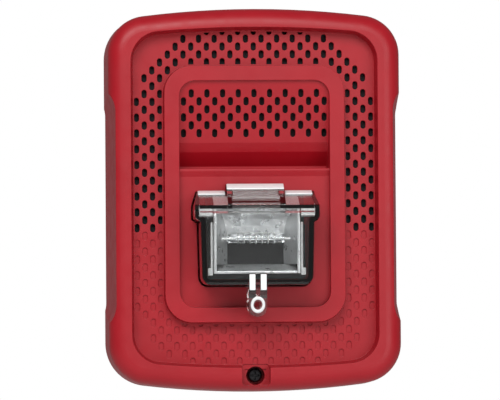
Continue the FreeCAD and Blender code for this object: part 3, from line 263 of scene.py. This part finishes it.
def clear(name, colour, rough, index, ripple=0.006):
    """Clear moulded plastic or glass, with the faint ripple of its moulding."""
    material, nodes, shader = surface(
        name,
        **{
            "Base Color": (*colour, 1.0),
            "Roughness": rough,
            "IOR": index,
            "Transmission Weight": 1.0,
        },
    )
    wave = nodes.noise(90.0, 2.0)
    link(nodes, shader, Normal=nodes.bump(wave, 0.3, ripple * MM))
    return material


def board_face():
    """Green solder resist with copper tracks just showing through."""
    material, nodes, shader = surface("board_green", Roughness=0.35)
    cells = nodes.add(
        "ShaderNodeTexBrick",
        {
            "Vector": nodes.add(
                "ShaderNodeMapping",
                {"Vector": nodes.place(), "Rotation": (math.radians(90), 0, 0)},
            ).outputs["Vector"],
            "Color1": (0.010, 0.105, 0.040, 1),
            "Color2": (0.014, 0.150, 0.055, 1),
            "Mortar": (0.030, 0.240, 0.090, 1),
            "Scale": 160.0,
            "Mortar Size": 0.05,
            "Brick Width": 1.4,
            "Row Height": 0.6,
        },
        offset=0.37,
        squash=0.7,
        squash_frequency=3,
    )
    link(
        nodes,
        shader,
        Base_Color=cells.outputs["Color"],
        Normal=nodes.bump(cells.outputs["Fac"], 0.5, 0.03 * MM),
    )
    return material


def windings():
    """Enamelled copper wire, wound in even turns, with painted shade in the grooves between turns and a
    painted highlight on each crest.
    """
    material, nodes, shader = surface("copper_winding", Metallic=1.0, Roughness=0.25)
    parts = nodes.add("ShaderNodeSeparateXYZ", {"Vector": nodes.place()})
    turns = nodes.add(
        "ShaderNodeMath", {0: parts.outputs["Y"], 1: math.tau / (0.45 * MM)}, operation="MULTIPLY"
    ).outputs[0]
    wave = nodes.add("ShaderNodeMath", {0: turns}, operation="SINE").outputs[0]
    # painted shade and highlight: each turn darker in its grooves and lighter on its crest
    link(
        nodes,
        shader,
        Base_Color=nodes.blend(
            nodes.spread(wave, 0, 1, -1, 1), (0.22, 0.07, 0.02), (0.75, 0.32, 0.12)
        ),
        Normal=nodes.bump(wave, 1.0, 0.1 * MM),
    )
    return material


RED = (0.330, 0.004, 0.011)
WHITE_PLASTIC = (0.72, 0.70, 0.64)

MATERIALS = {
    "red_plastic": moulded(
        "red_plastic", RED, 0.42, mottle=0.05, edge=0.35, **{"Specular IOR Level": 0.35}
    ),
    "clear_lens": clear("clear_lens", (0.97, 0.985, 0.98), 0.02, 1.58),
    "reflector_mirror": metal(
        "reflector_mirror", (0.95, 0.96, 0.97), 0.3, scratch=300, stretch=(1, 1, 1), Metallic=0.65
    ),
    "tube_glass": clear("tube_glass", (0.98, 0.99, 1.0), 0.01, 1.47, ripple=0.002),
    "tinned_wire": metal("tinned_wire", (0.70, 0.70, 0.70), 0.3),
    "black_plastic": moulded("black_plastic", (0.007, 0.007, 0.008), 0.55),
    "board_green": board_face(),
    "capacitor_can": moulded("capacitor_can", (0.012, 0.016, 0.035), 0.25),
    "bung_rubber": moulded("bung_rubber", (0.02, 0.02, 0.02), 0.75),
    "transformer_plastic": moulded("transformer_plastic", (0.55, 0.42, 0.05), 0.4),
    "ferrite": moulded("ferrite", (0.05, 0.05, 0.055), 0.55, grain=1500, depth=0.04),
    "copper_winding": windings(),
    "chip_black": moulded("chip_black", (0.02, 0.02, 0.022), 0.45, grain=3500),
    "film_plastic": moulded("film_plastic", (0.42, 0.05, 0.02), 0.2),
    "chip_ceramic": moulded("chip_ceramic", (0.42, 0.30, 0.18), 0.5, mottle=0.4, cloud=300),
    "grey_plastic": moulded("grey_plastic", (0.30, 0.31, 0.32), 0.5),
    "brass_disc": metal("brass_disc", (0.80, 0.58, 0.25), 0.3),
    "piezo_ceramic": moulded("piezo_ceramic", (0.72, 0.72, 0.68), 0.35),
    "lead_wire": moulded("lead_wire", (0.45, 0.02, 0.02), 0.45),
    "brass_pin": metal("brass_pin", (0.83, 0.62, 0.28), 0.22),
    "zinc_steel": metal("zinc_steel", (0.66, 0.66, 0.64), 0.28),
    "black_steel": metal("black_steel", (0.035, 0.035, 0.037), 0.4),
    "screen_fabric": woven("screen_fabric", (0.006, 0.006, 0.007), 0.35 * MM),
    "switch_blue": moulded("switch_blue", (0.02, 0.07, 0.32), 0.45),
    "dial_white": moulded("dial_white", WHITE_PLASTIC, 0.4),
    "switch_grey": moulded("switch_grey", (0.22, 0.22, 0.23), 0.45),
    "slider_white": moulded("slider_white", WHITE_PLASTIC, 0.4),
    "spring_steel": metal("spring_steel", (0.38, 0.38, 0.40), 0.3),
    "plate_plastic": moulded("plate_plastic", WHITE_PLASTIC, 0.5, grain=1800, depth=0.03),
}


SLOT_OF = {part["node"]: part["material_slot"] for part in frame["record"]["subparts"]}


def dress_nodes():
    """Every CAD node gets the material of its own slot."""
    for name, slot in SLOT_OF.items():
        materials = NODES[name].data.materials
        materials.clear()
        materials.append(MATERIALS[slot])


def painted_highlight_white(name):
    """A painted highlight for the lens: the clear plastic made nearly opaque and white, for the ribs,
    facets and ring that stand in for its white reflections.
    """
    material, nodes, shader = surface(
        name, **{"IOR": 1.58, "Transmission Weight": 0.15, "Roughness": 0.25}
    )
    cloud = nodes.spread(nodes.noise(700.0, 3.0), 0.0, 1.0)
    # painted highlight: a near-white colour with little transmission, so these pieces show as the lens's
    # reflections
    link(
        nodes,
        shader,
        Base_Color=nodes.blend(cloud, (0.92, 0.93, 0.94), (0.99, 0.99, 0.99)),
        Normal=nodes.bump(nodes.noise(1500.0, 2.0), 0.4, 0.02 * MM),
    )
    return material


dress_nodes()
PAINTED_HIGHLIGHT_WHITE = painted_highlight_white("lens_highlight_ribs")


# ---------------------------------------------------------------- pieces


def at(x, depth, z):
    """A point from its x, its depth in front of the wall and its height, in millimetres."""
    return Vector((x * MM, -depth * MM, z * MM))


def add_piece(name, shape, material, body, bevel=0.0, smooth=False):
    """Makes an object of a bmesh, with its edges bevelled, and rides it on a body."""
    bmesh.ops.recalc_face_normals(shape, faces=shape.faces)
    if bevel:
        sharp = [e for e in shape.edges if e.is_manifold and e.calc_face_angle() > 0.5]
        bmesh.ops.bevel(
            shape, geom=sharp, offset=bevel * MM, segments=3, profile=0.5, affect="EDGES"
        )
    for face in shape.faces:
        face.smooth = smooth
    mesh = bpy.data.meshes.new(name)
    shape.to_mesh(mesh)
    shape.free()
    mesh.materials.append(material)
    piece = bpy.data.objects.new(name, mesh)
    SCENE.collection.objects.link(piece)
    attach(piece, body)
    return piece


def extrude_outline(shape, outline, x0, x1):
    """Adds a solid with a side outline of (depth, z) corners between two x values."""
    ends = [[shape.verts.new(at(x, d, z)) for d, z in outline] for x in (x0, x1)]
    shape.faces.new(ends[0])
    shape.faces.new(reversed(ends[1]))
    for i in range(len(outline)):
        k = (i + 1) % len(outline)
        shape.faces.new((ends[0][i], ends[1][i], ends[1][k], ends[0][k]))


def scatter(*numbers):
    """A fixed number between -1 and 1 that looks random from one set of whole numbers to the next."""
    weights = (12.9898, 78.233, 37.719)
    turned = math.sin(sum(n * w for n, w in zip(numbers, weights))) * 43758.5453
    return (turned - math.floor(turned)) * 2 - 1


def facet_sheet(shape, rows, seed, jitter=0.45, thickness=0.7):
    """A sheet of flat facets through rows of (x, depth, z) points, with the inner points pushed about."""
    layers = []
    last_row, last_column = len(rows) - 1, len(rows[0]) - 1
    for back in (0.0, thickness):
        layer = []
        for j, row in enumerate(rows):
            line = []
            for i, (x, depth, z) in enumerate(row):
                inner = 0 < i < last_column and 0 < j < last_row
                push = scatter(i, j, seed) * jitter if inner else 0.0
                line.append(shape.verts.new(at(x, depth + push - back, z + push * 0.4)))
            layer.append(line)
        layers.append(layer)
    front, rear = layers
    for j in range(last_row):
        for i in range(last_column):
            for layer in (front, rear):
                a, b = layer[j][i], layer[j][i + 1]
                c, d = layer[j + 1][i + 1], layer[j + 1][i]
                shape.faces.new((a, b, c))
                shape.faces.new((a, c, d))
    border = [(0, i) for i in range(last_column)] + [(j, last_column) for j in range(last_row)]
    border += [(last_row, i) for i in range(last_column, 0, -1)]
    border += [(j, 0) for j in range(last_row, 0, -1)]
    for k, (j, i) in enumerate(border):
        n, m = border[(k + 1) % len(border)]
        shape.faces.new((front[j][i], front[n][m], rear[n][m], rear[j][i]))


BOWL_HALF_FRONT = 14.7
BOWL_HALF_REAR = 10.3
BOWL_FRONT = 41.4
BOWL_REAR = 31.4
BOWL_TOP = -4.2
WINDOW_TOP = -15.6
WINDOW_LOW = -23.9
RIM_FRONT = 42.0
RIM_REAR = 40.2
RIM_TOP = -3.9
RIM_LOW = -27.3
RIM_HALF_INNER = 14.65
RIM_HALF_OUTER = 15.75
BAR_TOP = -26.4
BAR_HALF = 14.6
BAR_SLOPE_DEPTH = 33.0
BAR_REAR = 31.6
SIDE_STEPS = (0.0, 0.35, 0.7, 1.0)


def reflector():
    """The metallised reflector: a faceted trough over the tube, faceted sides, and a smooth rim."""
    shape = bmesh.new()
    columns, rows = 11, 6
    trough = []
    for j in range(rows + 1):
        angle = math.pi / 2 * j / rows
        depth = BOWL_FRONT - (BOWL_FRONT - BOWL_REAR) * math.sin(angle)
        z = WINDOW_TOP + (BOWL_TOP - WINDOW_TOP) * math.cos(angle)
        half = BOWL_HALF_REAR + (BOWL_HALF_FRONT - BOWL_HALF_REAR) * math.cos(angle)
        trough.append(
            [((2 * i / columns - 1) * half, depth, z) for i in range(columns + 1)]
        )
    facet_sheet(shape, trough, 1)
    narrowing, bowl_depth, bands = BOWL_HALF_FRONT - BOWL_HALF_REAR, BOWL_FRONT - BOWL_REAR, 5
    for seed, side in ((4, -1), (5, 1)):
        wall = []
        for j in range(bands + 1):
            z = BOWL_TOP + (WINDOW_LOW - BOWL_TOP) * j / bands
            wall.append(
                [
                    (side * (BOWL_HALF_FRONT - narrowing * t), BOWL_FRONT - bowl_depth * t, z)
                    for t in SIDE_STEPS
                ]
            )
        facet_sheet(shape, wall, seed, jitter=0.3)
    mirror = MATERIALS["reflector_mirror"]
    facets = add_piece("reflector_facets", shape, mirror, "head")
    shape = bmesh.new()
    edge = [(RIM_REAR, RIM_TOP), (RIM_FRONT, RIM_TOP), (RIM_FRONT, RIM_LOW), (RIM_REAR, RIM_LOW)]
    for side in (-1, 1):
        extrude_outline(shape, edge, side * RIM_HALF_INNER, side * RIM_HALF_OUTER)
    bar = [
        (RIM_FRONT, RIM_LOW),
        (RIM_FRONT, BAR_TOP),
        (BAR_SLOPE_DEPTH, WINDOW_LOW),
        (BAR_REAR, WINDOW_LOW),
        (BAR_REAR, RIM_LOW),
    ]
    extrude_outline(shape, bar, -BAR_HALF, BAR_HALF)
    rim = add_piece("reflector_rim", shape, mirror, "head", bevel=0.25)
    for piece in (facets, rim):
        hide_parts("reflector")


# each rib: its side outline of (depth, z) corners, then the x values of its two ends
WING_PRISM = ([(45.0, -4.3), (45.0, -6.4), (41.5, -6.8), (41.5, -4.0)], 16.0, 21.0)
SIDE_POST = ([(40.0, -8.6), (41.6, -8.6), (41.6, -27.6), (40.0, -27.6)], 16.0, 16.8)
LOW_CORNER = ([(40.6, -25.2), (41.9, -25.2), (41.9, -27.9), (40.6, -27.9)], 16.0, 17.8)
CROWN_LIP = ([(30.4, 5.2), (30.6, 5.75), (34.6, 3.9), (34.4, 3.35)], -10.5, 10.5)
SHOULDER_LIP = ([(28.5, 2.75), (28.7, 3.3), (33.0, 2.0), (32.8, 1.4)], 11.0, 21.0)
NOSE_BAR = ([(48.8, -27.5), (49.4, -27.5), (49.4, -33.3), (48.8, -33.3)], 0.95, 3.1)


def add_pairs(shape, *ribs):
    """Adds the ribs on the left, then the same ribs on the right."""
    for side in (-1, 1):
        for outline, inner, outer in ribs:
            extrude_outline(shape, outline, side * inner, side * outer)


def lens_highlight_ribs():
    """White ribs on the lens as painted highlights, where its bevels and steps would reflect the light:
    prisms in its wings, rounded lips along its top and bars on its nose.
    """
    shape = bmesh.new()
    add_pairs(shape, WING_PRISM, SIDE_POST, LOW_CORNER)
    add_piece("lens_prisms", shape, PAINTED_HIGHLIGHT_WHITE, "head", bevel=0.3, smooth=True)

    shape = bmesh.new()
    extrude_outline(shape, *CROWN_LIP)
    add_pairs(shape, SHOULDER_LIP, NOSE_BAR)
    add_piece("lens_lips", shape, PAINTED_HIGHLIGHT_WHITE, "head", bevel=0.25, smooth=True)


# each sheet: its seed, its half width and the (depth, z) corners of its slope
TOP_SHEET = (2, 15.6, [(44.0, -4.3), (40.6, -3.3), (37.2, -2.2), (33.8, -1.2), (30.4, -0.2)])
CROWN_SHEET = (3, 8.3, [(36.5, 0.2), (33.5, 1.5), (30.5, 2.8)])
LENS_FACET_SIZE = 0.9


def lens_facets():
    """The faceted underside of the lens's sloped top and of its crown, in the white of the painted
    highlight, as a bright mottle of reflections.
    """
    shape = bmesh.new()
    for seed, half, slope in (TOP_SHEET, CROWN_SHEET):
        count = round(half / LENS_FACET_SIZE)
        facet_sheet(
            shape,
            [[((2 * i / count - 1) * half, d, z) for i in range(count + 1)] for d, z in slope],
            seed,
            jitter=0.3,
            thickness=0.3,
        )
    add_piece("lens_facets", shape, PAINTED_HIGHLIGHT_WHITE, "head")


EYE_Z = -38.6
EYE_RADIUS = 2.1
EYE_STRETCH = 1.15
EYE_THICK = 0.55
NOSE_FRONT = 49.0
NOSE_BEND_Z = -33.2
NOSE_SLOPE = 0.408


def ring_on_nose():
    """The raised ring round the eye at the foot of the nose, white as a painted highlight."""
    shape = bmesh.new()
    around, section = 36, 10
    loops = []
    for i in range(around):
        angle = math.tau * i / around
        loop = []
        for k in range(section):
            turn = math.tau * k / section
            reach = EYE_RADIUS + EYE_THICK * math.cos(turn)
            z = EYE_Z + reach * EYE_STRETCH * math.cos(angle)
            depth = NOSE_FRONT - (NOSE_BEND_Z - z) * NOSE_SLOPE + EYE_THICK * math.sin(turn)
            loop.append(shape.verts.new(at(reach * math.sin(angle), depth, z)))
        loops.append(loop)
    for i in range(around):
        one, other = loops[i], loops[(i + 1) % around]
        for k in range(section):
            m = (k + 1) % section
            shape.faces.new((one[k], one[m], other[m], other[k]))
    add_piece("lens_eye_ring", shape, PAINTED_HIGHLIGHT_WHITE, "head", smooth=True)


SCREW_Z = -64.8
SCREW_TIP = 4.0
SCREW_HEAD_REAR = 19.0
SCREW_HEAD_FRONT = 21.2
SCREW_NECK = (10.3, 11.3)
SCREW_PITCH = 0.794
SCREW_NECK_RADIUS = 1.34
THREAD_CREST = 1.74
THREAD_ROOT = 1.36
# (radius, depth) corners of the head, from its underside to the rim of its flat top
SCREW_HEAD = [(2.2, 19.02), (2.58, 19.3), (2.58, 20.6), (2.3, 21.05), (1.95, 21.18)]
CROSS_ARM = 1.65
CROSS_HALF_WIDTH = 0.42
CROSS_FLOOR = 19.9
CROSS_TAPER = 0.85


def screw_radius_at(depth, angle):
    """The radius of the threaded shank; the thread stops at the neck, below the head and at the tip."""
    if SCREW_NECK[0] < depth < SCREW_NECK[1]:
        return SCREW_NECK_RADIUS
    phase = (depth / SCREW_PITCH - angle / math.tau) % 1.0
    tooth = 1 - abs(phase * 2 - 1)
    fade = min(1.0, max(0.0, (SCREW_HEAD_REAR - 0.6 - depth) / SCREW_PITCH))
    lead = min(1.0, 0.55 + (depth - SCREW_TIP) * 0.5)
    return (THREAD_ROOT + (THREAD_CREST - THREAD_ROOT) * tooth * fade) * lead


def captive_screw():
    """The captive screw, with its thread as a helix and a cross recess in a rounded head."""
    shape = bmesh.new()
    around, step = 32, SCREW_PITCH / 8
    count = int((SCREW_HEAD_REAR - SCREW_TIP) / step)
    loops = []
    for j in range(count + 1):
        depth = SCREW_TIP + (SCREW_HEAD_REAR - SCREW_TIP) * j / count
        loops.append([(screw_radius_at(depth, math.tau * k / around), depth) for k in range(around)])
    loops += [[corner] * around for corner in SCREW_HEAD]
    rings = [
        [
            shape.verts.new(
                at(r * math.cos(math.tau * k / around), d, SCREW_Z + r * math.sin(math.tau * k / around))
            )
            for k, (r, d) in enumerate(loop)
        ]
        for loop in loops
    ]
    for one, other in zip(rings, rings[1:]):
        for k in range(around):
            m = (k + 1) % around
            shape.faces.new((one[k], one[m], other[m], other[k]))
    shape.faces.new(rings[0])
    # the flat top of the head goes down into a cross recess
    arm, wide, narrow = CROSS_ARM, CROSS_HALF_WIDTH, CROSS_TAPER
    cross = [(wide, arm), (wide, wide), (arm, wide)]
    quarter = [(arm, -wide), (wide, -wide), (wide, -arm)]
    outline = cross + quarter + [(-x, -z) for x, z in cross] + [(-x, -z) for x, z in quarter]
    top = [shape.verts.new(at(x, SCREW_HEAD_FRONT, SCREW_Z + z)) for x, z in outline]
    low = [shape.verts.new(at(x * narrow, CROSS_FLOOR, SCREW_Z + z * narrow)) for x, z in outline]
    for i in range(len(top)):
        k = (i + 1) % len(top)
        shape.faces.new((top[i], top[k], low[k], low[i]))
    shape.faces.new(low)
    rim_edges = [shape.edges.get((rings[-1][k], rings[-1][(k + 1) % around])) for k in range(around)]
    cross_edges = [shape.edges.get((top[i], top[(i + 1) % len(top)])) for i in range(len(top))]
    bmesh.ops.triangle_fill(shape, edges=rim_edges + cross_edges, use_beauty=True)
    slot = SLOT_OF["captive_screw"]
    screw = add_piece("captive_screw_threaded", shape, MATERIALS[slot], "screw")
    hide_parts("captive_screw")


MARK_PROUD = 0.18
MARK_SUNK = 0.2
DIAL_MARKS = 10
DIAL_MARK_STEP = 35
DIAL_MARK_START = -157.5
DIAL_MARK_RADIUS = 4.75
DIAL_MARK_HALF = 0.18
SLIDER_MARKS = 4
SLIDER_MARK_PITCH = 4
SLIDER_MARK_HALF = 0.2
SLIDER_MARK_ENDS = (0.4, 2.0)


def add_mark(shape, rear, z, half, x0, x1):
    """Adds one raised mark on a face at a depth."""
    low, high = z - half, z + half
    sunk, proud = rear + MARK_SUNK, rear - MARK_PROUD
    extrude_outline(shape, [(sunk, low), (proud, low), (proud, high), (sunk, high)], x0, x1)


def selector_marks():
    """Raised marks beside the two selectors: ten round the dial and four beside the slider."""
    shape = bmesh.new()
    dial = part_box("tone_switch_body")
    x0, z0 = (dial[0].x + dial[1].x) / 2 / MM, (dial[0].z + dial[1].z) / 2 / MM
    for i in range(DIAL_MARKS):
        angle = math.tau * (i * DIAL_MARK_STEP + DIAL_MARK_START) / 360
        x, z = x0 + DIAL_MARK_RADIUS * math.sin(angle), z0 + DIAL_MARK_RADIUS * math.cos(angle)
        half = DIAL_MARK_HALF
        add_mark(shape, -dial[1].y / MM, z, half, x - half, x + half)
    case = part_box("candela_switch_body")
    edge, low = case[0].x / MM, case[0].z / MM + SLIDER_MARK_PITCH
    start, end = SLIDER_MARK_ENDS
    for i in range(SLIDER_MARKS):
        z = low + SLIDER_MARK_PITCH * i
        add_mark(shape, -case[1].y / MM, z, SLIDER_MARK_HALF, edge + start, edge + end)
    add_piece("selector_marks", shape, MATERIALS["dial_white"], "head", bevel=0.05)


reflector()
lens_highlight_ribs()
lens_facets()
ring_on_nose()
captive_screw()
selector_marks()


# ---------------------------------------------------------------- stage and light


def add_stage():
    side, gap = 4.0, 0.18
    height = CAD_BOX[0].z - gap
    mesh = bpy.data.meshes.new("floor")
    mesh.from_pydata(
        [(-side, -side, height), (side, -side, height), (side, side, height), (-side, side, height)],
        [],
        [(0, 1, 2, 3)],
    )
    floor = bpy.data.objects.new("floor", mesh)
    SCENE.collection.objects.link(floor)
    material, _, _ = surface("floor_pale", **{"Base Color": (0.93, 0.93, 0.93, 1), "Roughness": 0.9})
    mesh.materials.append(material)


def add_light(name, place, size, power):
    data = bpy.data.lights.new(name, "AREA")
    data.shape = "RECTANGLE"
    data.size, data.size_y = size
    data.energy = power
    light = bpy.data.objects.new(name, data)
    SCENE.collection.objects.link(light)
    light.location = place
    light.rotation_euler = (Vector(place) * -1).to_track_quat("-Z", "Y").to_euler()


def add_world():
    """White to the camera, softer on the object, as in a light tent with a white back."""
    world = bpy.data.worlds.new("world")
    SCENE.world = world
    world.use_nodes = True
    tree = world.node_tree
    tree.nodes.clear()
    nodes = Nodes(tree)
    seen = nodes.add("ShaderNodeLightPath").outputs["Is Camera Ray"]
    soft = nodes.add("ShaderNodeBackground", {"Color": (1, 1, 1, 1), "Strength": 0.24})
    white = nodes.add("ShaderNodeBackground", {"Color": (1, 1, 1, 1), "Strength": 1.0})
    mix = nodes.add("ShaderNodeMixShader")
    out = nodes.add("ShaderNodeOutputWorld")
    tree.links.new(seen, mix.inputs[0])
    tree.links.new(soft.outputs[0], mix.inputs[1])
    tree.links.new(white.outputs[0], mix.inputs[2])
    tree.links.new(mix.outputs[0], out.inputs["Surface"])


add_stage()
add_world()
add_light("key", (-0.25, -1.0, 0.62), (0.8, 0.5), 11.0)
add_light("fill", (0.55, -1.05, 0.15), (0.6, 0.8), 4.5)
SCENE.view_settings.view_transform = "Standard"
